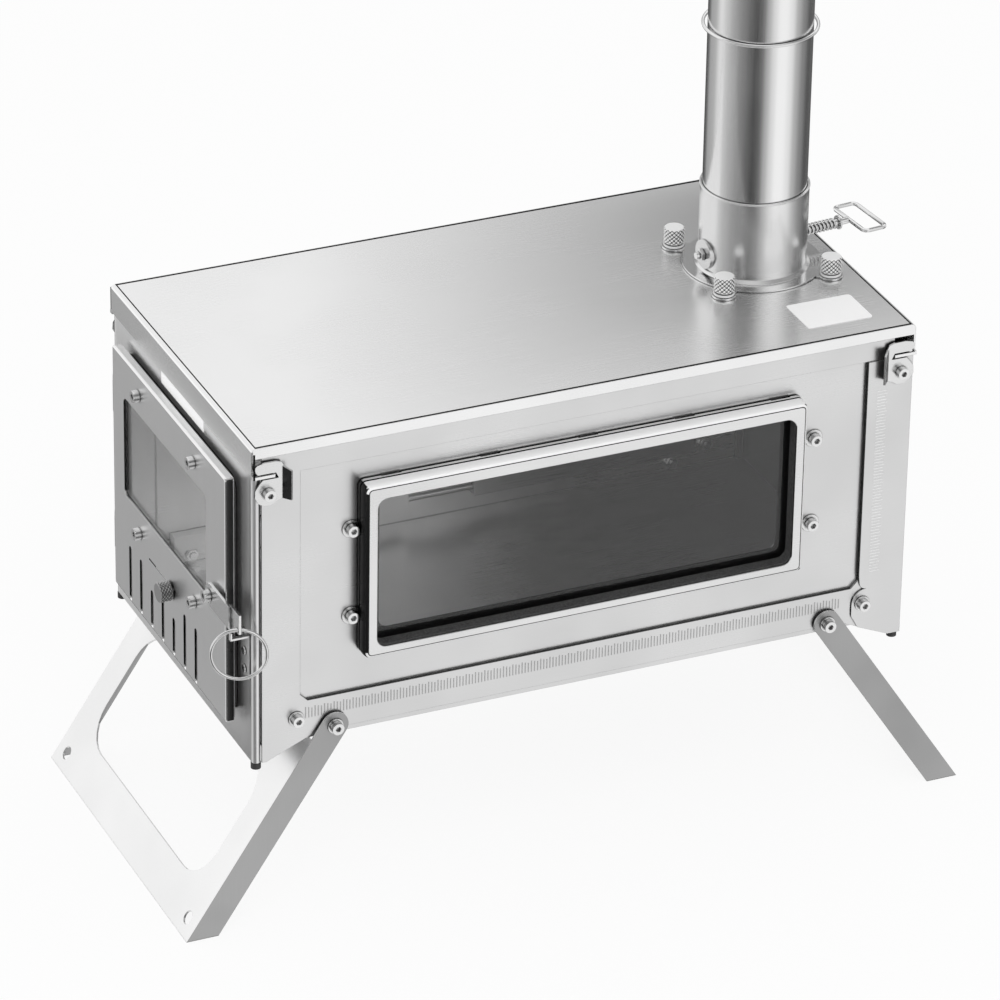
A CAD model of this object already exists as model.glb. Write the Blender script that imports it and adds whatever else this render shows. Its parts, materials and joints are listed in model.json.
"""Looks of the tent wood stove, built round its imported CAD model.

Sizes are metres, in the frame of the CAD model: X runs from the door to the flue, Y from the
window side to the far side, Z up from the ground.
"""

import json
import math

import bmesh
import bpy
from mathutils import Matrix, Vector

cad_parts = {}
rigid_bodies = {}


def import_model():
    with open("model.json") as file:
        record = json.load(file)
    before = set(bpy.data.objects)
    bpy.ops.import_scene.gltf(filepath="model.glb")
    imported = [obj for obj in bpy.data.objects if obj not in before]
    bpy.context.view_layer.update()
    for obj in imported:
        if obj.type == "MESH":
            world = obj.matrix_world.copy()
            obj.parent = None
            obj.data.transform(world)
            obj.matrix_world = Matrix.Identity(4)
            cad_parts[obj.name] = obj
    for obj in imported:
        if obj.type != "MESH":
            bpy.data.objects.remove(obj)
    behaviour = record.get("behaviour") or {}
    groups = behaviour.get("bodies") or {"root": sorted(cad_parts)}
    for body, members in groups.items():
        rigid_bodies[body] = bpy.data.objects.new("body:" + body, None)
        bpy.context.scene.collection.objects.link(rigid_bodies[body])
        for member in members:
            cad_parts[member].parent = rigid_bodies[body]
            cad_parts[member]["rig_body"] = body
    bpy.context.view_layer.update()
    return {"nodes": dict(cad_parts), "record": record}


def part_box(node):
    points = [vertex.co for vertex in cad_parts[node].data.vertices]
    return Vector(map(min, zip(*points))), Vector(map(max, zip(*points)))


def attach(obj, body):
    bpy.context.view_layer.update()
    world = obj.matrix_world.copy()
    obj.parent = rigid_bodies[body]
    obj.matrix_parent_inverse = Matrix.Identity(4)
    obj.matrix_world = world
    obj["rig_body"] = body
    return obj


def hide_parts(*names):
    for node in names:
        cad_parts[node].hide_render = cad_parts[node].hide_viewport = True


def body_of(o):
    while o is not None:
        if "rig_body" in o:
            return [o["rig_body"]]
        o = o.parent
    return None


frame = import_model()
nodes = frame["nodes"]
MM = 0.001

# Where the stove's main faces lie, read from the CAD nodes
body_low, front_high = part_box("front_panel")
body_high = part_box("back_panel")[1]
lid_low, lid_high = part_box("top_plate")

# How far in the pressed fields of the side panels lie
FIELD_DEPTH = 2 * MM

# Node trees


class Tree:
    """Adds nodes to a material's, world's or group's node tree and links them in one call."""

    def __init__(self, tree):
        self.tree = tree
        tree.nodes.clear()

    def add(self, kind, inputs=(), **settings):
        node = self.tree.nodes.new(kind)
        for name, value in settings.items():
            setattr(node, name, value)
        for name, value in dict(inputs).items():
            self.feed(node.inputs[name], value)
        return node

    def feed(self, socket, value):
        if isinstance(value, bpy.types.NodeSocket):
            self.tree.links.new(value, socket)
        else:
            socket.default_value = value

    def math(self, operation, first, second=0.0, third=0.0, clamp=False):
        node = self.add("ShaderNodeMath", operation=operation, use_clamp=clamp)
        for socket, value in zip(node.inputs, (first, second, third)):
            self.feed(socket, value)
        return node.outputs[0]

    def ramp(self, factor, stops, interpolation="LINEAR"):
        node = self.add("ShaderNodeValToRGB", {"Fac": factor})
        node.color_ramp.interpolation = interpolation
        elements = node.color_ramp.elements
        while len(elements) < len(stops):
            elements.new(0.5)
        for element, (place, value) in zip(elements, stops):
            element.position = place
            element.color = (value, value, value, 1)
        return node.outputs["Color"]

    def blend(self, factor, first, second):
        # The colours of a Mix node are its inputs 6 and 7 and its output 2
        node = self.add("ShaderNodeMix", data_type="RGBA")
        for index, value in ((0, factor), (6, first), (7, second)):
            self.feed(node.inputs[index], value)
        return node.outputs[2]

    def group(self, group, **inputs):
        node = self.add("ShaderNodeGroup", node_tree=group)
        for name, value in inputs.items():
            self.feed(node.inputs[name.replace("_", " ").capitalize()], value)
        return node.outputs

    def mix_shaders(self, factor, first, second):
        node = self.add("ShaderNodeMixShader", {"Fac": factor})
        self.feed(node.inputs[1], first.outputs[0])
        self.feed(node.inputs[2], second.outputs[0])
        return node

    def surface(self, shader, kind="ShaderNodeOutputMaterial"):
        self.feed(self.add(kind).inputs["Surface"], shader.outputs[0])


def new_group(name, inputs, outputs):
    """A shader node group with float inputs, given with their defaults, and typed outputs."""
    group = bpy.data.node_groups.new(name, "ShaderNodeTree")
    for label, default in inputs.items():
        socket = group.interface.new_socket(label, in_out="INPUT", socket_type="NodeSocketFloat")
        socket.default_value = default
    for label, kind in outputs.items():
        group.interface.new_socket(label, in_out="OUTPUT", socket_type="NodeSocket" + kind)
    tree = Tree(group)
    return group, tree, tree.add("NodeGroupInput").outputs, tree.add("NodeGroupOutput").inputs


def grain_group():
    """Fine lines of a rolled and brushed sheet, with a slow drift in their strength."""
    group, tree, given, out = new_group(
        "Brushed grain",
        {"Along x": 30.0, "Along y": 2500.0, "Along z": 2500.0},
        {"Lines": "Float", "Clouds": "Float"},
    )
    place = tree.add("ShaderNodeTexCoord").outputs["Object"]
    scale = tree.add(
        "ShaderNodeCombineXYZ", {"X": given["Along x"], "Y": given["Along y"], "Z": given["Along z"]}
    )
    stretched = tree.add("ShaderNodeVectorMath", operation="MULTIPLY")
    tree.feed(stretched.inputs[0], place)
    tree.feed(stretched.inputs[1], scale.outputs[0])
    fine = tree.add(
        "ShaderNodeTexNoise",
        {"Vector": stretched.outputs[0], "Scale": 1.0, "Detail": 3.0, "Roughness": 0.6},
    )
    clouds = tree.add("ShaderNodeTexNoise", {"Vector": place, "Scale": 14.0, "Detail": 2.0})
    tree.feed(out["Lines"], fine.outputs["Fac"])
    tree.feed(out["Clouds"], clouds.outputs["Fac"])
    return group


def edge_group():
    """Softened normals at a piece's edges, and a mask of the edges themselves."""
    group, tree, given, out = new_group(
        "Rounded edge", {"Radius": 0.4 * MM}, {"Normal": "Vector", "Edge": "Float"}
    )
    bevel = tree.add("ShaderNodeBevel", {"Radius": given["Radius"]}, samples=4)
    flat = tree.add("ShaderNodeNewGeometry").outputs["Normal"]
    across = tree.add("ShaderNodeVectorMath", operation="DOT_PRODUCT")
    tree.feed(across.inputs[0], bevel.outputs[0])
    tree.feed(across.inputs[1], flat)
    bent = tree.math("SUBTRACT", 1.0, across.outputs["Value"], clamp=True)
    tree.feed(out["Normal"], bevel.outputs[0])
    tree.feed(out["Edge"], tree.math("MULTIPLY", bent, 4.0, clamp=True))
    return group


def crevice_group():
    """Mask of the narrow joints where one sheet meets the next and grime and shadow gather."""
    group, tree, given, out = new_group("Crevice", {"Reach": 1 * MM, "Depth": 0.8}, {"Clean": "Float"})
    near = tree.add("ShaderNodeAmbientOcclusion", {"Distance": given["Reach"]}, samples=6)
    open_part = tree.ramp(near.outputs["AO"], ((0.35, 0.0), (0.80, 1.0)), "EASE")
    closed = tree.math("MULTIPLY", tree.math("SUBTRACT", 1.0, open_part), given["Depth"])
    tree.feed(out["Clean"], tree.math("SUBTRACT", 1.0, closed, clamp=True))
    return group


def smoke_group():
    """Mask of the smoke film inside the firebox, thin by the door and thick below the flue."""
    group, tree, given, out = new_group("Smoke film", {"Strength": 0.9}, {"Smoke": "Float"})
    point = tree.add("ShaderNodeTexCoord").outputs["Object"]
    place = tree.add("ShaderNodeSeparateXYZ", {"Vector": point}).outputs
    inside = 1.0
    skin = 0.5 * MM
    room = (
        (body_low.x + skin, body_high.x - skin),
        (body_low.y + FIELD_DEPTH + skin, front_high.y - FIELD_DEPTH - skin),
        (body_low.z + skin, lid_high.z - skin),
    )
    for axis, (low, high) in zip("XYZ", room):
        off = tree.math("ABSOLUTE", tree.math("SUBTRACT", place[axis], (low + high) / 2))
        inside = tree.math("MULTIPLY", inside, tree.math("LESS_THAN", off, (high - low) / 2))
    past_door = tree.math("SUBTRACT", place["X"], body_low.x)
    share = tree.math("MULTIPLY", past_door, 1 / (body_high.x - body_low.x))
    cloud = tree.add("ShaderNodeTexNoise", {"Scale": 9.0, "Detail": 3.0}).outputs["Fac"]
    uneven = tree.math("MULTIPLY_ADD", tree.math("SUBTRACT", cloud, 0.5), 0.12, share)
    thick = tree.ramp(uneven, ((0.44, 0.0), (0.58, 0.45), (0.72, 0.86), (0.90, 1.0)), "EASE")
    tree.feed(out["Smoke"], tree.math("MULTIPLY", tree.math("MULTIPLY", inside, thick), given["Strength"]))
    return group


GRAIN = grain_group()
EDGE = edge_group()
CREVICE = crevice_group()
SMOKE = smoke_group()

# Scale of the grain across and along a sheet
FINE = 2600.0
SLOW = 25.0
GRAIN_ALONG = {
    "x": (SLOW, FINE, FINE),
    "z": (FINE, FINE, SLOW),
    "all": (FINE, FINE, FINE),
}

# Grey of soot, how much brighter a worn edge is, what the grain adds to roughness, and the finest bump
SOOT = 0.02
EDGE_SHINE = 1.25
ROUGH_SPREAD = 0.04
FINE_BUMP = 0.02 * MM


def new_material(name):
    material = bpy.data.materials.new(name)
    material.use_nodes = True
    return material, Tree(material.node_tree)


def grey(value):
    return (value, value, value, 1)


def steel(
    name, colour, roughness, along="x", grain=0.04, bump=0.03, clouds=0.05, radius=0.35 * MM, edge=0.15,
    reach=1.1 * MM, depth=0.95, smoke=0.0, metal=1.0,
):
    """Brushed stainless sheet: colour and roughness in the middle, reach and depth of its dark joints."""
    material, tree = new_material(name)
    x, y, z = GRAIN_ALONG[along]
    marks = tree.group(GRAIN, along_x=x, along_y=y, along_z=z)
    rim = tree.group(EDGE, radius=radius)
    joints = tree.group(CREVICE, reach=reach, depth=depth)
    lines = tree.ramp(marks["Lines"], ((0.3, 0.0), (0.7, 1.0)))
    drift = tree.ramp(marks["Clouds"], ((0.35, 0.0), (0.65, 1.0)))
    shade = tree.blend(lines, grey(colour * (1 - grain)), grey(min(1, colour * (1 + grain))))
    shade = tree.blend(drift, shade, grey(colour * (1 - clouds)))
    worn = tree.math("MULTIPLY", rim["Edge"], edge)
    bright = tree.blend(worn, shade, grey(min(1, colour * EDGE_SHINE)))
    bright = tree.blend(joints["Clean"], grey(0.0), bright)
    if smoke:
        sooty = tree.group(SMOKE, strength=smoke)
        bright = tree.blend(sooty["Smoke"], bright, grey(SOOT))
    rough = tree.math("MULTIPLY_ADD", lines, ROUGH_SPREAD, roughness - ROUGH_SPREAD / 2)
    rough = tree.math("MULTIPLY_ADD", drift, ROUGH_SPREAD, rough)
    bumped = tree.add(
        "ShaderNodeBump", {"Height": lines, "Normal": rim["Normal"], "Strength": bump, "Distance": FINE_BUMP}
    )
    shader = tree.add(
        "ShaderNodeBsdfPrincipled",
        {"Base Color": bright, "Metallic": metal, "Roughness": rough, "Normal": bumped.outputs[0]},
    )
    tree.surface(shader)
    return material


def glass(name):
    """Clear heat-proof glass, with a faint uneven film of smoke on it."""
    material, tree = new_material(name)
    place = tree.add("ShaderNodeTexCoord").outputs["Object"]
    smoke = tree.add("ShaderNodeTexNoise", {"Vector": place, "Scale": 30.0, "Detail": 4.0})
    faint = tree.ramp(smoke.outputs["Fac"], ((0.3, 0.0), (0.8, 1.0)))
    tint = tree.blend(faint, grey(0.97), grey(0.92))
    rough = tree.math("MULTIPLY", faint, 0.02)
    shader = tree.add(
        "ShaderNodeBsdfPrincipled",
        {"Base Color": tint, "Metallic": 0.0, "Roughness": rough, "Transmission Weight": 1.0, "IOR": 1.45},
    )
    clear = tree.add("ShaderNodeBsdfTransparent")
    shadow = tree.add("ShaderNodeLightPath").outputs["Is Shadow Ray"]
    tree.surface(tree.mix_shaders(shadow, shader, clear))
    return material


def braid(name, colour):
    """Woven heat-proof rope or tape."""
    material, tree = new_material(name)
    place = tree.add("ShaderNodeTexCoord").outputs["Object"]
    weave = tree.add("ShaderNodeTexVoronoi", {"Vector": place, "Scale": 900.0})
    tone = tree.blend(weave.outputs["Distance"], grey(colour * 1.4), grey(colour * 0.5))
    bumped = tree.add(
        "ShaderNodeBump", {"Height": weave.outputs["Distance"], "Strength": 0.6, "Distance": 0.3 * MM}
    )
    shader = tree.add(
        "ShaderNodeBsdfPrincipled",
        {"Base Color": tone, "Metallic": 0.0, "Roughness": 0.9, "Normal": bumped.outputs[0]},
    )
    tree.surface(shader)
    return material


def coated(name, colour, roughness, speck=0.02, glow=0.0):
    """Plain coated surface: a blank label or the dark caps of the corner feet."""
    material, tree = new_material(name)
    place = tree.add("ShaderNodeTexCoord").outputs["Object"]
    fibre = tree.add("ShaderNodeTexNoise", {"Vector": place, "Scale": 1800.0, "Detail": 3.0})
    tone = tree.blend(fibre.outputs["Fac"], grey(colour * (1 - speck)), grey(min(1, colour * (1 + speck))))
    own_light = {"Emission Color": grey(1.0), "Emission Strength": glow} if glow else {}
    rough = tree.math("MULTIPLY_ADD", fibre.outputs["Fac"], 0.1, roughness - 0.05)
    bumped = tree.add(
        "ShaderNodeBump", {"Height": fibre.outputs["Fac"], "Strength": 0.15, "Distance": FINE_BUMP}
    )
    shader = tree.add(
        "ShaderNodeBsdfPrincipled",
        {"Base Color": tone, "Metallic": 0.0, "Roughness": rough, "Normal": bumped.outputs[0], **own_light},
    )
    tree.surface(shader)
    return material


SHEET = {"grain": 0.02, "bump": 0.012}
SMALL = {"grain": 0.02, "bump": 0.01, "radius": 0.1 * MM}
ROUND = {"grain": 0.015, "bump": 0.004, "clouds": 0.02, "edge": 0.0}
ROLL = {**ROUND, "grain": 0.01}
FINISHES = {
    "body_steel": steel("side_sheet", 0.74, 0.28, "x", smoke=0.95, reach=1.8 * MM, **SHEET),
    "front_steel": steel("front_sheet", 0.86, 0.32, "z", smoke=0.9, reach=1.8 * MM, **SHEET),
    "lid_steel": steel("lid_sheet", 0.92, 0.24, "x", grain=0.012, bump=0.006, clouds=0.03),
    "door_steel": steel("door_sheet", 0.86, 0.30, "z", reach=2.4 * MM, **SHEET),
    "trim_steel": steel("pressed_trim", 0.80, 0.24, "x", reach=2 * MM, **SHEET),
    "leg_steel": steel("leg_sheet", 0.95, 0.30, "z", **SHEET),
    "screw_steel": steel("polished_screw", 0.80, 0.14, "all", reach=2 * MM, **{**SMALL, "radius": 0.2 * MM}),
    "knurled_steel": steel("knurled_head", 0.9, 0.4, "all", metal=0.3, **SMALL),
    "pipe_steel": steel("rolled_pipe", 0.88, 0.14, "z", **ROUND),
    "wire_steel": steel("drawn_wire", 0.86, 0.10, "all", **SMALL),
    "glass": glass("stove_glass"),
    "gasket": braid("woven_gasket", 0.05),
    "dark_feet": coated("dark_feet", 0.03, 0.5, 0.2),
    "label": coated("blank_label", 0.88, 0.45),
}
ROLLED_EDGE = steel("rolled_edge", 0.95, 0.07, "all", **ROLL)
SPUN_COLLAR = steel("spun_collar", 0.86, 0.22, "z", **ROUND)
PRESSED_MARK = steel("pressed_mark", 0.58, 0.45, "all", grain=0.1, bump=0.05, depth=0.3)
SEAM = steel("pressed_seam", 0.015, 0.6, "all", grain=0.1, bump=0.02)
KNOB_STEEL = steel("knob_steel", 0.50, 0.3, "all", **SMALL)
KNURL_GROOVE = steel("knurl_groove", 0.10, 0.4, "all", grain=0.1, bump=0.02)
BRIGHT_ROLL = steel("bright_roll", 0.9, 0.4, "x", metal=0.2, depth=0.4, **ROLL)
DARK_RETURN = steel("dark_return", 0.07, 0.22, "z", grain=0.05, bump=0.01, clouds=0.2)
LEG_SIDE = steel("leg_side", 0.44, 0.34, "z", grain=0.03, bump=0.012, clouds=0.12)


def slots_of_nodes():
    """Material slot of each CAD node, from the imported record."""
    return {part["node"]: part["material_slot"] for part in frame["record"]["subparts"]}


def dress_nodes():
    """Gives every CAD node the finish of its slot."""
    slots = slots_of_nodes()
    for name, node in nodes.items():
        finish = FINISHES[slots[name]]
        node.data.materials.clear()
        node.data.materials.append(finish)


dress_nodes()
nodes["front_label"].data.materials[0] = coated("shaded_label", 0.9, 0.45, glow=0.22)

# Pieces that take the place of plain CAD shapes, or are added to them


def new_object(name, data):
    """An object in the scene, of a mesh, lamp or camera."""
    thing = bpy.data.objects.new(name, data)
    bpy.context.scene.collection.objects.link(thing)
    return thing


def add_piece(name, mesh, node, finish=None):
    """Puts a new mesh in the scene, riding with a CAD node's body and in its slot's finish or another."""
    slot = slots_of_nodes()[node]
    piece = new_object(name, mesh)
    mesh.materials.append(finish or FINISHES[slot])
    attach(piece, body_of(nodes[node])[0])
    return piece


# Bends in degrees: above which an edge stays sharp, in general and on fine work, above which it is a corner
# that can be rounded, and below which two faces are one flat
CREASE = 35.0
FINE_CREASE = 20.0
CORNER = 40.0
FLAT = 0.5

# Distances within which two points are the same, and within which a point lies on a face of a node's box
SAME_POINT = 0.002 * MM
ON_FACE = 0.01 * MM


def to_mesh(work, name, crease=CREASE):
    """Mesh from a bmesh: round sides shaded smooth, edges bent by more than crease degrees kept sharp."""
    bend = math.radians(crease)
    for face in work.faces:
        face.smooth = True
    for edge in work.edges:
        edge.smooth = edge.is_manifold and edge.calc_face_angle() < bend
    mesh = bpy.data.meshes.new(name)
    work.to_mesh(mesh)
    work.free()
    return mesh


def reworked(node, rounding=0.0, pick=None, steps=2, clamp=True):
    """Copy of a CAD node, its flat faces joined, its picked edges rounded and its round sides smooth.

    Without clamp the rounding is a wide roll with a bright finish of its own.
    """
    work = bmesh.new()
    work.from_mesh(nodes[node].data)
    bmesh.ops.remove_doubles(work, verts=work.verts, dist=SAME_POINT)
    bmesh.ops.dissolve_limit(work, angle_limit=math.radians(FLAT), verts=work.verts, edges=work.edges)
    if rounding:
        square = math.radians(CORNER)
        picked = [
            edge for edge in work.edges
            if edge.is_manifold and edge.calc_face_angle() > square and (pick is None or pick(edge))
        ]
        bmesh.ops.bevel(
            work, geom=picked, offset=rounding, offset_type="OFFSET", segments=steps, profile=0.5,
            affect="EDGES", clamp_overlap=clamp, material=0 if clamp else 1,
        )
    piece = add_piece(node + "_finished", to_mesh(work, node + "_finished"), node)
    if rounding:
        piece.modifiers.new("flat_faces", "WEIGHTED_NORMAL").keep_sharp = True
    if not clamp:
        piece.data.materials.append(ROLLED_EDGE)
    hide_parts(node)
    return piece


def top_outline(node):
    """Picks the four edges round a CAD node's top face."""
    low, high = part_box(node)

    def pick(edge):
        ends = [vert.co for vert in edge.verts]
        sides = [(0, low.x), (0, high.x), (1, low.y), (1, high.y)]
        return all(abs(end.z - high.z) < ON_FACE for end in ends) and any(
            all(abs(end[axis] - place) < ON_FACE for end in ends) for axis, place in sides
        )

    return pick


def front_outline(node, margin):
    """Picks the edges of a door's front face that lie within margin of its outline."""
    low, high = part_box(node)

    def pick(edge):
        return all(
            abs(vert.co.x - low.x) < ON_FACE
            and min(vert.co.y - low.y, high.y - vert.co.y, vert.co.z - low.z, high.z - vert.co.z) < margin
            for vert in edge.verts
        )

    return pick


HOOKS = ("near_front_hook", "near_rear_hook", "far_front_hook", "far_rear_hook")
SMALL_PARTS = (
    "window_screws", "panel_screws", "leg_pivot_screws", "leg_pivot_washers", "latch_pivot_screws",
    "door_screws", "latch_screw", "flue_thumb_screws", "catch_rivets", "blade_rivets", "damper_nut",
    "spring_washer", *HOOKS, "air_knob",
)
SMOOTH_PARTS = (
    "floor_tray", "near_side_panel", "far_side_panel", "front_panel", "back_panel", "corner_rods",
    "near_wall_ledge", "far_wall_ledge", "inner_nuts", "door_catch", "panel_hinge_leaves", "hinge_pins",
    "flue_flange", "flue_collar", "flue_nuts", "damper_bush", "damper_shaft", "damper_handle",
    "damper_blade", "damper_spring", "flue_pipe", "pipe_ring", "door_inner_plate", "door_hinge_leaves",
    "air_slide", "air_slide_guides", "door_latch", "latch_tongue", "latch_ring", "front_leg", "rear_leg",
)
SMALL_ROUNDING = 0.25 * MM
LID_ROLL = 2.4 * MM
DOOR_ROLL = 1.3 * MM
DOOR_MARGIN = 3.2 * MM
for part in SMALL_PARTS:
    reworked(part, SMALL_ROUNDING)
for part in SMOOTH_PARTS:
    reworked(part)
reworked("top_plate", LID_ROLL, top_outline("top_plate"), steps=6, clamp=False)
reworked("door_skin", DOOR_ROLL, front_outline("door_skin", DOOR_MARGIN), steps=5, clamp=False)


def islands(node):
    """Lowest and highest corners of each separate solid in a CAD node."""
    work = bmesh.new()
    work.from_mesh(nodes[node].data)
    bmesh.ops.remove_doubles(work, verts=work.verts, dist=SAME_POINT)
    left = set(work.verts)
    boxes = []
    while left:
        start = left.pop()
        found, queue = [start], [start]
        while queue:
            for edge in queue.pop().link_edges:
                for vert in edge.verts:
                    if vert in left:
                        left.remove(vert)
                        found.append(vert)
                        queue.append(vert)
        corners = [vert.co for vert in found]
        low, high = (
            Vector(choose(corner[axis] for corner in corners) for axis in range(3)) for choose in (min, max)
        )
        boxes.append((low, high))
    work.free()
    return sorted(boxes, key=lambda box: tuple(box[0]))


# The body's lowest near corner at the door end, in millimetres
BODY_CORNER = (-200, -105.375, 105)


def body_point(x, y, z):
    """A point given in millimetres from the body's corner, in metres."""
    return Vector((x + BODY_CORNER[0], y + BODY_CORNER[1], z + BODY_CORNER[2])) * MM


def add_block(work, low, high):
    """Adds a box from its lowest to its highest corner."""
    block = Matrix.Translation((low + high) / 2) @ Matrix.Diagonal((*(high - low), 1))
    bmesh.ops.create_cube(work, size=1, matrix=block)


def strip_of_loops(work, loops, closed=True):
    """Bridges closed loops of points with the same count, one after the other."""
    rings = [[work.verts.new(point) for point in loop] for loop in loops]
    pairs = list(zip(rings, rings[1:])) + ([(rings[-1], rings[0])] if closed else [])
    for first, second in pairs:
        for i in range(len(first)):
            j = (i + 1) % len(first)
            work.faces.new((first[i], first[j], second[j], second[i]))
    return rings


def window_loop(low, high, radius, depth, steps=6):
    """Rounded rectangle in the window's plane, from its lower and upper corners in the body's x and z."""
    points = []
    for corner, (across, up) in enumerate(((1, 1), (0, 1), (0, 0), (1, 0))):
        middle_x = high[0] - radius if across else low[0] + radius
        middle_z = high[1] - radius if up else low[1] + radius
        for step in range(steps + 1):
            angle = math.pi / 2 * (corner + step / steps)
            across_by, up_by = radius * math.cos(angle), radius * math.sin(angle)
            points.append(body_point(middle_x + across_by, depth, middle_z + up_by))
    return points


# Window frame in the body's millimetres: its outline and opening, then profiles from the opening's edge
# round the front and back again, as inset, depth, corner radius and the finish of the band that ends there
FRAME_OUTLINE = ((62.5, 58.3), (331.0, 166.3))
FRAME_OPENING = ((69.9, 64.6), (323.6, 157.6))
PLAIN, DARK_SEAM, ROLLED, DARK_SIDE = 0, 1, 2, 3
OPENING_PROFILE = ((0.0, -9.15, 6.0), (0.0, -9.75, 6.0), (-0.3, -10.0, 6.2))
FRAME_PROFILE = (
    (2.4, -10.0, 2.0, PLAIN),
    (2.15, -9.8, 2.2, DARK_SEAM),
    (1.9, -9.85, 2.4, DARK_SEAM),
    (0.8, -9.0, 3.2, ROLLED),
    (0.2, -7.6, 3.5, ROLLED),
    (0.0, -6.0, 3.6, ROLLED),
    (0.0, -2.6, 3.6, ROLLED),
    (0.4, -2.5, 3.3, DARK_SEAM),
    (0.4, -1.3, 3.3, DARK_SEAM),
    (0.0, -1.2, 3.6, DARK_SEAM),
    (0.0, 0.9, 3.6, PLAIN),
    (0.0, 1.95, 3.6, DARK_SEAM),
    (1.0, 1.95, 3.0, PLAIN),
    (1.0, -8.7, 3.0, PLAIN),
    (1.4, -9.15, 2.8, PLAIN),
)

# Air slots in the frame's top: count, length, distance from both ends, depths and heights about the top
SLOT_COUNT = 5
SLOT_LENGTH = 12.0
SLOT_FRONT = 13.5
SLOT_REAR = 7.0
SLOT_DEPTHS = (0.2, 3)
SLOT_HEIGHTS = (-2, 1)

# A face of the frame whose normal in X is below this looks toward the door end
FACES_DOOR = -0.6

# Ears of the frame: radius, depths of their two faces and points round them
EAR_RADIUS = 5.3
EAR_DEPTHS = (1.2, 1.95)
EAR_STEPS = 32


def inset(outline, by):
    (low_x, low_z), (high_x, high_z) = outline
    return (low_x + by, low_z + by), (high_x - by, high_z - by)


def pressed_window_frame():
    """Frame with a rolled front edge, a dark seam behind it and five air slots in its top edge."""
    work = bmesh.new()
    loops = [window_loop(*inset(FRAME_OPENING, by), radius, depth) for by, depth, radius in OPENING_PROFILE]
    loops += [window_loop(*inset(FRAME_OUTLINE, by), radius, depth) for by, depth, radius, _ in FRAME_PROFILE]
    strip_of_loops(work, loops)
    bmesh.ops.recalc_face_normals(work, faces=work.faces)
    bands = [PLAIN, PLAIN] + [row[3] for row in FRAME_PROFILE] + [PLAIN]
    for number, face in enumerate(work.faces):
        band = bands[number // len(loops[0])]
        if band != DARK_SEAM and face.normal.x < FACES_DOOR:
            band = DARK_SIDE
        face.material_index = band
    mesh = to_mesh(work, "window_frame_pressed", FINE_CREASE)
    piece = add_piece("window_frame_pressed", mesh, "window_frame")
    for finish in (SEAM, BRIGHT_ROLL, DARK_RETURN):
        piece.data.materials.append(finish)
    length = FRAME_OUTLINE[1][0] - FRAME_OUTLINE[0][0]
    pitch = (length - SLOT_FRONT - SLOT_REAR - SLOT_LENGTH) / (SLOT_COUNT - 1)
    bottom, top = (FRAME_OUTLINE[1][1] + height for height in SLOT_HEIGHTS)
    cutter = bmesh.new()
    for i in range(SLOT_COUNT):
        start = FRAME_OUTLINE[0][0] + SLOT_FRONT + i * pitch
        low = body_point(start, SLOT_DEPTHS[0], bottom)
        high = body_point(start + SLOT_LENGTH, SLOT_DEPTHS[1], top)
        add_block(cutter, low, high)
    cut_with(piece, cutter)
    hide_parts("window_frame")


def window_ears():
    """Round ears of the window frame under its four screws."""
    work = bmesh.new()
    turns = [math.tau * i / EAR_STEPS for i in range(EAR_STEPS)]
    ring = [Vector((math.cos(turn), 0, math.sin(turn))) * EAR_RADIUS * MM for turn in turns]
    levels = [body_point(0, depth, 0).y for depth in EAR_DEPTHS]
    for low, high in islands("window_screws"):
        centre = (low + high) / 2
        discs = strip_of_loops(
            work, [[Vector((centre.x + p.x, level, centre.z + p.z)) for p in ring] for level in levels], False
        )
        for disc in discs:
            work.faces.new(disc)
    bmesh.ops.recalc_face_normals(work, faces=work.faces)
    add_piece("window_frame_ears", to_mesh(work, "window_frame_ears"), "window_frame")


def cut_with(piece, cutter):
    """Cuts a bmesh's solids out of a piece, and marks the piece's creases again."""
    mesh = bpy.data.meshes.new("cutter")
    cutter.to_mesh(mesh)
    cutter.free()
    tool = new_object("cutter", mesh)
    cut = piece.modifiers.new("cut", "BOOLEAN")
    cut.object, cut.operation, cut.solver = tool, "DIFFERENCE", "EXACT"
    bpy.context.view_layer.update()
    result = bpy.data.meshes.new_from_object(piece.evaluated_get(bpy.context.evaluated_depsgraph_get()))
    piece.modifiers.clear()
    bpy.data.objects.remove(tool)
    work = bmesh.new()
    work.from_mesh(result)
    finishes = list(piece.data.materials)
    piece.data = to_mesh(work, result.name, FINE_CREASE)
    for finish in finishes:
        piece.data.materials.append(finish)


pressed_window_frame()
window_ears()


# Diamond knurl: ribs and points round a head, rows along it, height of a diamond, slant of the rows, share
# of the head's length left free at each end, gap to the head, and the share of the height below which the
# knurl counts as a groove
KNURL_RIBS = 14
KNURL_STEPS = KNURL_RIBS * 8
KNURL_ROWS = 40
KNURL_HEIGHT = 0.5 * MM
KNURL_SLANT = 3.5
KNURL_ENDS = 0.04
KNURL_GAP = 0.02 * MM
GROOVE = 0.3

# The sleeve closes inward to this share of its radius, at this share of the length from the head's ends
CLOSE_TO = 0.93
CLOSE_AT = 0.02


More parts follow.
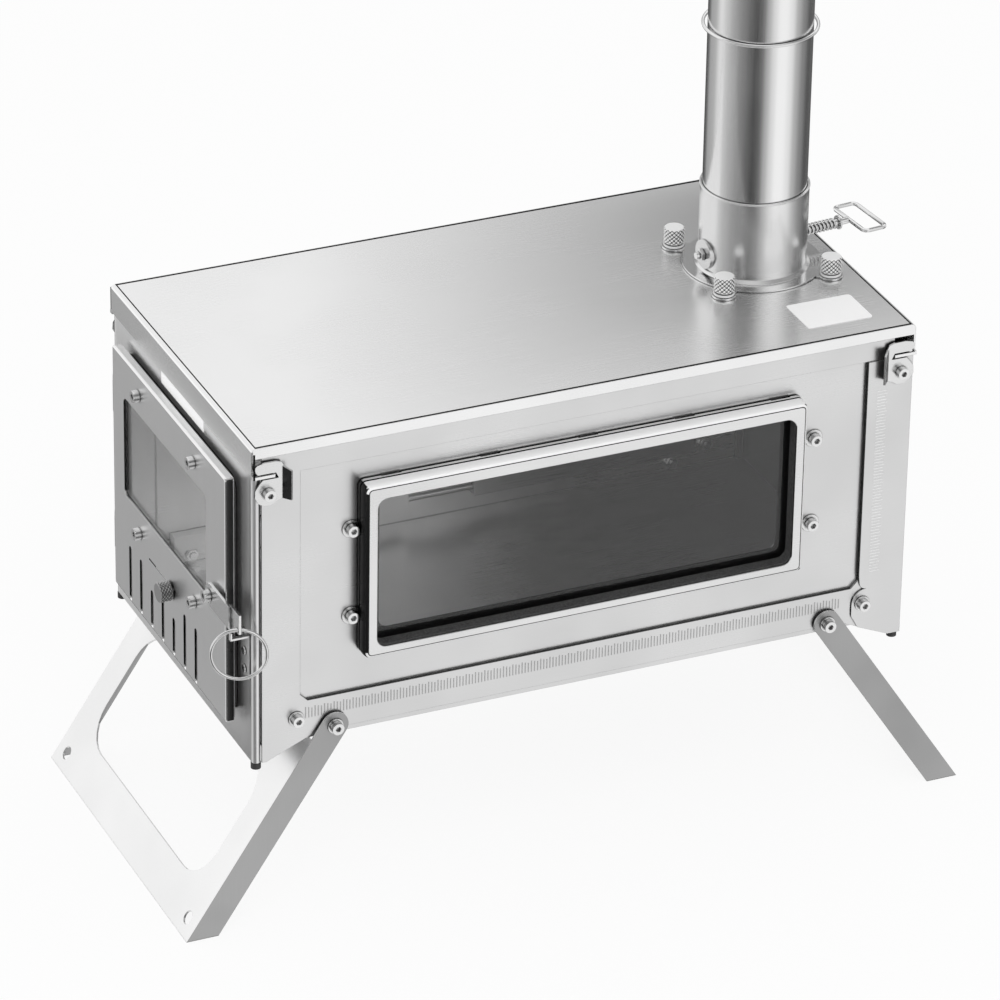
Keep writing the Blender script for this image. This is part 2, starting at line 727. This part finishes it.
def knurled_sleeve(name, low, high, axis, node):
    """Diamond knurl round the head of a screw or knob whose box is low to high, along axis x or z."""
    centre = (low + high) / 2
    radius = (high.y - low.y) / 2
    length = high[axis] - low[axis]
    loops, grooves = [], []
    for row in range(KNURL_ROWS + 1):
        along = low[axis] + length * (KNURL_ENDS + (1 - 2 * KNURL_ENDS) * row / KNURL_ROWS)
        slant = math.pi * row / KNURL_ROWS * KNURL_SLANT
        inner_row = 0 < row < KNURL_ROWS
        loop = []
        for i in range(KNURL_STEPS):
            turn = math.tau * i / KNURL_STEPS
            lean = KNURL_RIBS * turn / 2
            rise = abs(math.cos(lean + slant)) * abs(math.cos(lean - slant))
            reach = radius + KNURL_GAP + KNURL_HEIGHT * rise * inner_row
            grooves.append(rise < GROOVE and inner_row)
            a, b = reach * math.cos(turn), reach * math.sin(turn)
            point = (along, centre.y + a, centre.z + b) if axis == 0 else (centre.x + a, centre.y + b, along)
            loop.append(Vector(point))
        loops.append(loop)
    work = bmesh.new()
    rings = strip_of_loops(work, loops, False)
    for face, groove in zip(work.faces, grooves):
        face.material_index = int(groove)
    ends = (low[axis] + CLOSE_AT * length, high[axis] - CLOSE_AT * length)
    for ring, along in zip((rings[0], rings[-1]), ends):
        inner = []
        for vert in ring:
            point = centre + (vert.co - centre) * CLOSE_TO
            point[axis] = along
            inner.append(work.verts.new(point))
        for i in range(len(ring)):
            j = (i + 1) % len(ring)
            work.faces.new((ring[i], ring[j], inner[j], inner[i]))
    bmesh.ops.recalc_face_normals(work, faces=work.faces)
    sleeve = add_piece(name, to_mesh(work, name, FINE_CREASE), node, FINISHES["knurled_steel"])
    sleeve.data.materials.append(KNURL_GROOVE)


THUMB_HEIGHT = 9.5 * MM
THUMB_RADIUS = 5.5 * MM


def thumb_screw_knurls():
    """Knurls round the heads of the flue's thumb screws, at the top of each."""
    for number, (low, high) in enumerate(islands("flue_thumb_screws")):
        centre = (low + high) / 2
        head_low = Vector((centre.x - THUMB_RADIUS, centre.y - THUMB_RADIUS, high.z - THUMB_HEIGHT))
        head_high = Vector((centre.x + THUMB_RADIUS, centre.y + THUMB_RADIUS, high.z))
        knurled_sleeve(f"thumb_screw_knurl_{number + 1}", head_low, head_high, 2, "flue_thumb_screws")


thumb_screw_knurls()
knurled_sleeve("air_knob_knurl", *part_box("air_knob"), 0, "air_knob")


# Rule marks in the body's millimetres: pitch, width of a mark, how far it stands out of and goes into the
# sheet, and the step by which the lengths vary
MARK_PITCH = 1.9
MARK_WIDTH = 0.6
MARK_OUT = 0.06
MARK_IN = 0.02
MARK_VARIES = 0.5

# Each row: its count of marks, where the first one starts, the row's edge and its longest mark; then the
# depth of the face that carries it
FOOT_ROW = (174, 31.0, 23.0, 7.0)
FLANGE_ROW = (62, 43.5, 378.0, 6.6)
FOOT_FACE = 0.0
FLANGE_FACE = -1.0


def marks_piece(name, node, marks, face, finish):
    """Pressed marks on a flat of the window side, from their corners in the body's x and z."""
    work = bmesh.new()
    for (low_x, low_z), (high_x, high_z) in marks:
        add_block(work, body_point(low_x, face - MARK_OUT, low_z), body_point(high_x, face + MARK_IN, high_z))
    add_piece(name, to_mesh(work, name), node, finish)


def mark_places(count, first, longest):
    """Start and length of each mark in a row; the lengths vary a little."""
    return [(first + MARK_PITCH * i, longest - MARK_VARIES * (i * 7 % 3)) for i in range(count)]


def rule_marks():
    """Two plain rows of pressed rule marks: along the foot of the near side and up its rear corner flange."""
    count, first, edge, longest = FOOT_ROW
    foot = []
    for start, tall in mark_places(count, first, longest):
        foot.append(((start, edge), (start + MARK_WIDTH, edge + tall)))
    count, first, edge, longest = FLANGE_ROW
    flange = []
    for start, wide in mark_places(count, first, longest):
        flange.append(((edge, start), (edge + wide, start + MARK_WIDTH)))
    marks_piece("foot_rule_marks", "near_side_panel", foot, FOOT_FACE, PRESSED_MARK)
    marks_piece("flange_rule_marks", "back_panel", flange, FLANGE_FACE, BRIGHT_ROLL)


rule_marks()


# Seams of the lid: how far they stand out, where the edge's seam starts from the lid's outline, how wide it
# is in X and Y, and where a corner's seam begins and ends from the lid's door end
SEAM_PROUD = 0.03 * MM
SEAM_START = 2.3 * MM
SEAM_WIDE_X = 0.8 * MM
SEAM_WIDE_Y = 1.6 * MM
CORNER_SEAM = (0.3 * MM, 1.5 * MM)


def lid_seam():
    """Fine dark line where the flat of the lid turns into its rolled edge, on all four sides."""
    work = bmesh.new()
    loops = []
    for inner, rise in ((0, -SEAM_PROUD), (0, SEAM_PROUD), (1, SEAM_PROUD), (1, -SEAM_PROUD)):
        out = Vector((SEAM_START + inner * SEAM_WIDE_X, SEAM_START + inner * SEAM_WIDE_Y, 0))
        low, high = lid_low + out, lid_high - out
        height = lid_high.z + rise
        loops.append([Vector((x, y, height)) for x, y in (
            (low.x, low.y), (high.x, low.y), (high.x, high.y), (low.x, high.y)
        )])
    strip_of_loops(work, loops)
    bmesh.ops.recalc_face_normals(work, faces=work.faces)
    add_piece("lid_edge_seam", to_mesh(work, "lid_edge_seam"), "top_plate", SEAM)


def lid_corner_seams():
    """Open seam at each front corner of the lid, where its long and short skirts meet."""
    work = bmesh.new()
    for y in (lid_low.y, lid_high.y):
        low = Vector((lid_low.x + CORNER_SEAM[0], y - SEAM_PROUD, lid_low.z))
        high = Vector((lid_low.x + CORNER_SEAM[1], y + SEAM_PROUD, lid_high.z - LID_ROLL))
        add_block(work, low, high)
    add_piece("lid_corner_seams", to_mesh(work, "lid_corner_seams"), "top_plate", SEAM)


def refinish(piece, finish, axis, ways=(-1, 1), least=0.9):
    """Gives another finish to the faces of a piece that look one way or both ways along an axis."""
    mesh = bpy.data.objects[piece].data
    mesh.materials.append(finish)
    last = len(mesh.materials) - 1
    for face in mesh.polygons:
        if any(face.normal["xyz".index(axis)] * way > least for way in ways):
            face.material_index = last


lid_seam()
lid_corner_seams()
for part in ("front_leg_finished", "rear_leg_finished"):
    refinish(part, LEG_SIDE, "y")
for part in HOOKS:
    refinish(part + "_finished", DARK_RETURN, "x", least=0.7)
for part in ("air_knob_finished", "air_knob_knurl"):
    bpy.data.objects[part].data.materials[0] = KNOB_STEEL
refinish("door_skin_finished", DARK_RETURN, "y")
refinish("back_panel_finished", DARK_RETURN, "x", (-1,))
refinish("near_side_panel_finished", DARK_RETURN, "x", (-1,))
refinish("near_side_panel_finished", DARK_RETURN, "z", (1,))
bpy.data.objects["flue_collar_finished"].data.materials[0] = SPUN_COLLAR


# Studio: pale floor, white surroundings, one soft lamp, a card that only reflections see, and the camera


# Where one part of the surroundings gives way to the next, by the sine of elevation from -1 to 1 as 0 to 1
HORIZON = ((0.47, 0.0), (0.53, 1.0))
BELT = ((0.08, 0.0), (0.12, 1.0), (0.31, 1.0), (0.35, 0.0), (0.65, 0.0), (0.69, 1.0))
GAP_STARTS = ((0.81, 0.0), (0.85, 1.0))
SKY_STARTS = ((0.93, 0.0), (0.96, 1.0))
SOFT_LIGHT = 0.85


def white_world():
    """White surroundings: plain to the camera, soft as light, and studio walls in what steel mirrors."""
    world = bpy.data.worlds.new("studio")
    bpy.context.scene.world = world
    world.use_nodes = True
    tree = Tree(world.node_tree)
    path = tree.add("ShaderNodeLightPath").outputs
    toward = tree.add("ShaderNodeTexCoord").outputs["Generated"]
    part = tree.add("ShaderNodeSeparateXYZ", {"Vector": toward}).outputs
    turn = tree.math("ARCTAN2", part["X"], tree.math("MULTIPLY", part["Y"], -1.0))
    around = tree.math("MULTIPLY_ADD", turn, 0.5 / math.pi, 0.5)
    low = tree.ramp(around, BELOW, "EASE")
    high = tree.ramp(around, ABOVE, "EASE")
    height = tree.math("MULTIPLY_ADD", part["Z"], 0.5, 0.5)
    room = tree.ramp(around, ROOM, "EASE")
    seen = tree.blend(tree.ramp(height, HORIZON, "EASE"), low, high)
    seen = tree.blend(tree.ramp(height, BELT, "EASE"), room, seen)
    seen = tree.blend(tree.ramp(height, GAP_STARTS, "EASE"), seen, grey(GAP))
    seen = tree.blend(tree.ramp(height, SKY_STARTS, "EASE"), seen, grey(SKY))
    plain = tree.add("ShaderNodeBackground", {"Color": grey(1.0), "Strength": 1.0})
    mirrored = tree.add("ShaderNodeBackground", {"Color": seen, "Strength": 1.0})
    soft = tree.add("ShaderNodeBackground", {"Color": grey(1.0), "Strength": SOFT_LIGHT})
    lit = tree.mix_shaders(path["Is Glossy Ray"], soft, mirrored)
    direct = tree.math("MAXIMUM", path["Is Camera Ray"], path["Is Transmission Ray"])
    tree.surface(tree.mix_shaders(direct, lit, plain), "ShaderNodeOutputWorld")


def degrees_around(*pairs):
    """Ramp stops from pairs of azimuth in degrees (0 is the window side) and brightness."""
    return tuple(((azimuth + 180) / 360, value) for azimuth, value in pairs)


# What polished steel mirrors, by azimuth: ROOM round the horizon and straight down, BELOW and ABOVE well
# under and well over the horizon; higher up there is a darker gap, and then the ceiling
SKY = 1.0
GAP = 0.30
ROOM = degrees_around(
    (-180, 0.95), (-145, 1.0), (-115, 0.75), (-90, 0.85), (-60, 0.60), (-30, 0.66), (0, 0.85), (30, 0.80),
    (60, 0.55), (90, 0.72), (120, 0.85), (150, 0.62),
)
BELOW = degrees_around(
    (-180, 0.12), (-172, 0.14), (-160, 0.38), (-141, 0.44), (-120, 0.82), (-103, 0.60), (-87, 0.38),
    (-73, 0.26), (-59, 0.18), (-46, 0.09), (-34, 0.03), (-21, 0.10), (-8, 0.44), (5, 0.78), (18, 1.0),
    (32, 1.0), (47, 0.85), (63, 0.46), (82, 0.24), (106, 0.09), (128, 0.12), (143, 0.10), (156, 0.07),
    (168, 0.08),
)
ABOVE = degrees_around(
    (-180, 0.9), (-140, 0.95), (-125, 0.82), (-103, 0.60), (-87, 0.38), (-73, 0.26), (-59, 0.18), (-46, 0.09),
    (-34, 0.03), (-21, 0.10), (-8, 0.47), (5, 0.84), (18, 1.0), (32, 1.0), (47, 0.70), (63, 0.37), (82, 0.20),
    (106, 0.09), (128, 0.25), (143, 0.80), (156, 0.95), (168, 0.92),
)


FLOOR_REACH = 6.0
FLOOR_SHINE = 0.9


def pale_floor():
    """Floor that shows as white with the stove's faint shadow; reflections look past it."""
    mesh = bpy.data.meshes.new("floor")
    corners = [(x * FLOOR_REACH, y * FLOOR_REACH, 0) for x, y in ((-1, -1), (1, -1), (1, 1), (-1, 1))]
    mesh.from_pydata(corners, [], [(0, 1, 2, 3)])
    floor = new_object("floor", mesh)
    material, tree = new_material("pale_floor")
    path = tree.add("ShaderNodeLightPath").outputs
    matt = tree.add("ShaderNodeBsdfDiffuse", {"Color": grey(0.85)})
    shine = tree.add("ShaderNodeEmission", {"Color": grey(1.0), "Strength": 1.0})
    clear = tree.add("ShaderNodeBsdfTransparent")
    seen = tree.mix_shaders(tree.math("MULTIPLY", path["Is Camera Ray"], FLOOR_SHINE), matt, shine)
    tree.surface(tree.mix_shaders(path["Is Glossy Ray"], seen, clear))
    mesh.materials.append(material)


# Card behind the stove: its ends in X, its place in Y, its foot and head in Z. It is brighter toward the door
# end and higher up, each as a slope and a start, and CARD_TOP strengthens the second. The greater of the two
# times CARD_BRIGHT is added to CARD_DIM.
CARD_ENDS = (-1.0, 1.4)
CARD_PLACE = 0.36
CARD_HEIGHTS = (0.36, 1.3)
CARD_FALL = (-3.4, 1.05)
CARD_RISE = (14.0, -7.7)
CARD_TOP = 1.1
CARD_BRIGHT = 0.64
CARD_DIM = 0.25


def backdrop_card():
    """Card behind the stove that only reflections see: it fades the lid from the door end to the flue."""
    mesh = bpy.data.meshes.new("backdrop_card")
    (left_end, right_end), (foot, head) = CARD_ENDS, CARD_HEIGHTS
    corners = [(left_end, foot), (right_end, foot), (right_end, head), (left_end, head)]
    mesh.from_pydata([(x, CARD_PLACE, z) for x, z in corners], [], [(0, 1, 2, 3)])
    card = new_object("backdrop_card", mesh)
    material, tree = new_material("backdrop_card")
    place = tree.add("ShaderNodeTexCoord").outputs["Object"]
    point = tree.add("ShaderNodeSeparateXYZ", {"Vector": place}).outputs
    left = tree.math("MULTIPLY_ADD", point["X"], *CARD_FALL, clamp=True)
    high = tree.math("MULTIPLY_ADD", point["Z"], *CARD_RISE, clamp=True)
    high = tree.math("MULTIPLY", high, CARD_TOP)
    level = tree.math("MULTIPLY_ADD", tree.math("MAXIMUM", left, high), CARD_BRIGHT, CARD_DIM)
    glow = tree.add("ShaderNodeEmission", {"Color": grey(1.0), "Strength": level})
    tree.surface(glow)
    mesh.materials.append(material)
    for kind in ("camera", "diffuse", "transmission", "volume_scatter", "shadow"):
        setattr(card, "visible_" + kind, False)


def soft_lamp(name, place, target, size, power):
    """Area lamp at a place, turned to a target; steel doesn't mirror it."""
    lamp = bpy.data.lights.new(name, "AREA")
    lamp.shape = "RECTANGLE"
    lamp.size, lamp.size_y = size
    lamp.energy = power
    holder = new_object(name, lamp)
    holder.visible_glossy = False
    holder.location = place
    holder.rotation_euler = (Vector(target) - Vector(place)).to_track_quat("-Z", "Y").to_euler()


# The photograph's viewing angle: azimuth, elevation and roll in degrees, the point aimed at and the
# camera's place from it, across, up and back, in millimetres, and the focal length on a 36 mm sensor
CAMERA_ANGLES = (-24.1392, 28.5461, 1.0175)
CAMERA_AIM = (0.0, 1.185, 204.0)
CAMERA_OFFSET = (-5.24, -23.4, 3760.0)
CAMERA_LENS = 237.212


def photo_camera():
    """Camera at the photograph's angle, and the scene's own."""
    azimuth, elevation, roll = (math.radians(angle) for angle in CAMERA_ANGLES)
    level = math.cos(elevation)
    back = Vector((math.sin(azimuth) * level, -math.cos(azimuth) * level, math.sin(elevation)))
    across = Vector((0, 0, 1)).cross(back).normalized()
    upward = back.cross(across)
    right = math.cos(roll) * across + math.sin(roll) * upward
    top = -math.sin(roll) * across + math.cos(roll) * upward
    aim = Vector(CAMERA_AIM) * MM
    turned = Matrix((right, top, back)).transposed()
    camera = new_object("camera", bpy.data.cameras.new("camera"))
    place = aim + turned @ (Vector(CAMERA_OFFSET) * MM)
    camera.matrix_world = Matrix.Translation(place) @ turned.to_4x4()
    camera.data.sensor_width = 36.0
    camera.data.lens = CAMERA_LENS
    camera.data.clip_start = 0.1
    camera.data.clip_end = 50.0
    bpy.context.scene.camera = camera


white_world()
pale_floor()
backdrop_card()
soft_lamp("key_lamp", place=(-0.6, -1.6, 2.0), target=(0, 0, 0.2), size=(1.6, 1.2), power=18)
photo_camera()
bpy.context.scene.view_settings.view_transform = "Standard"
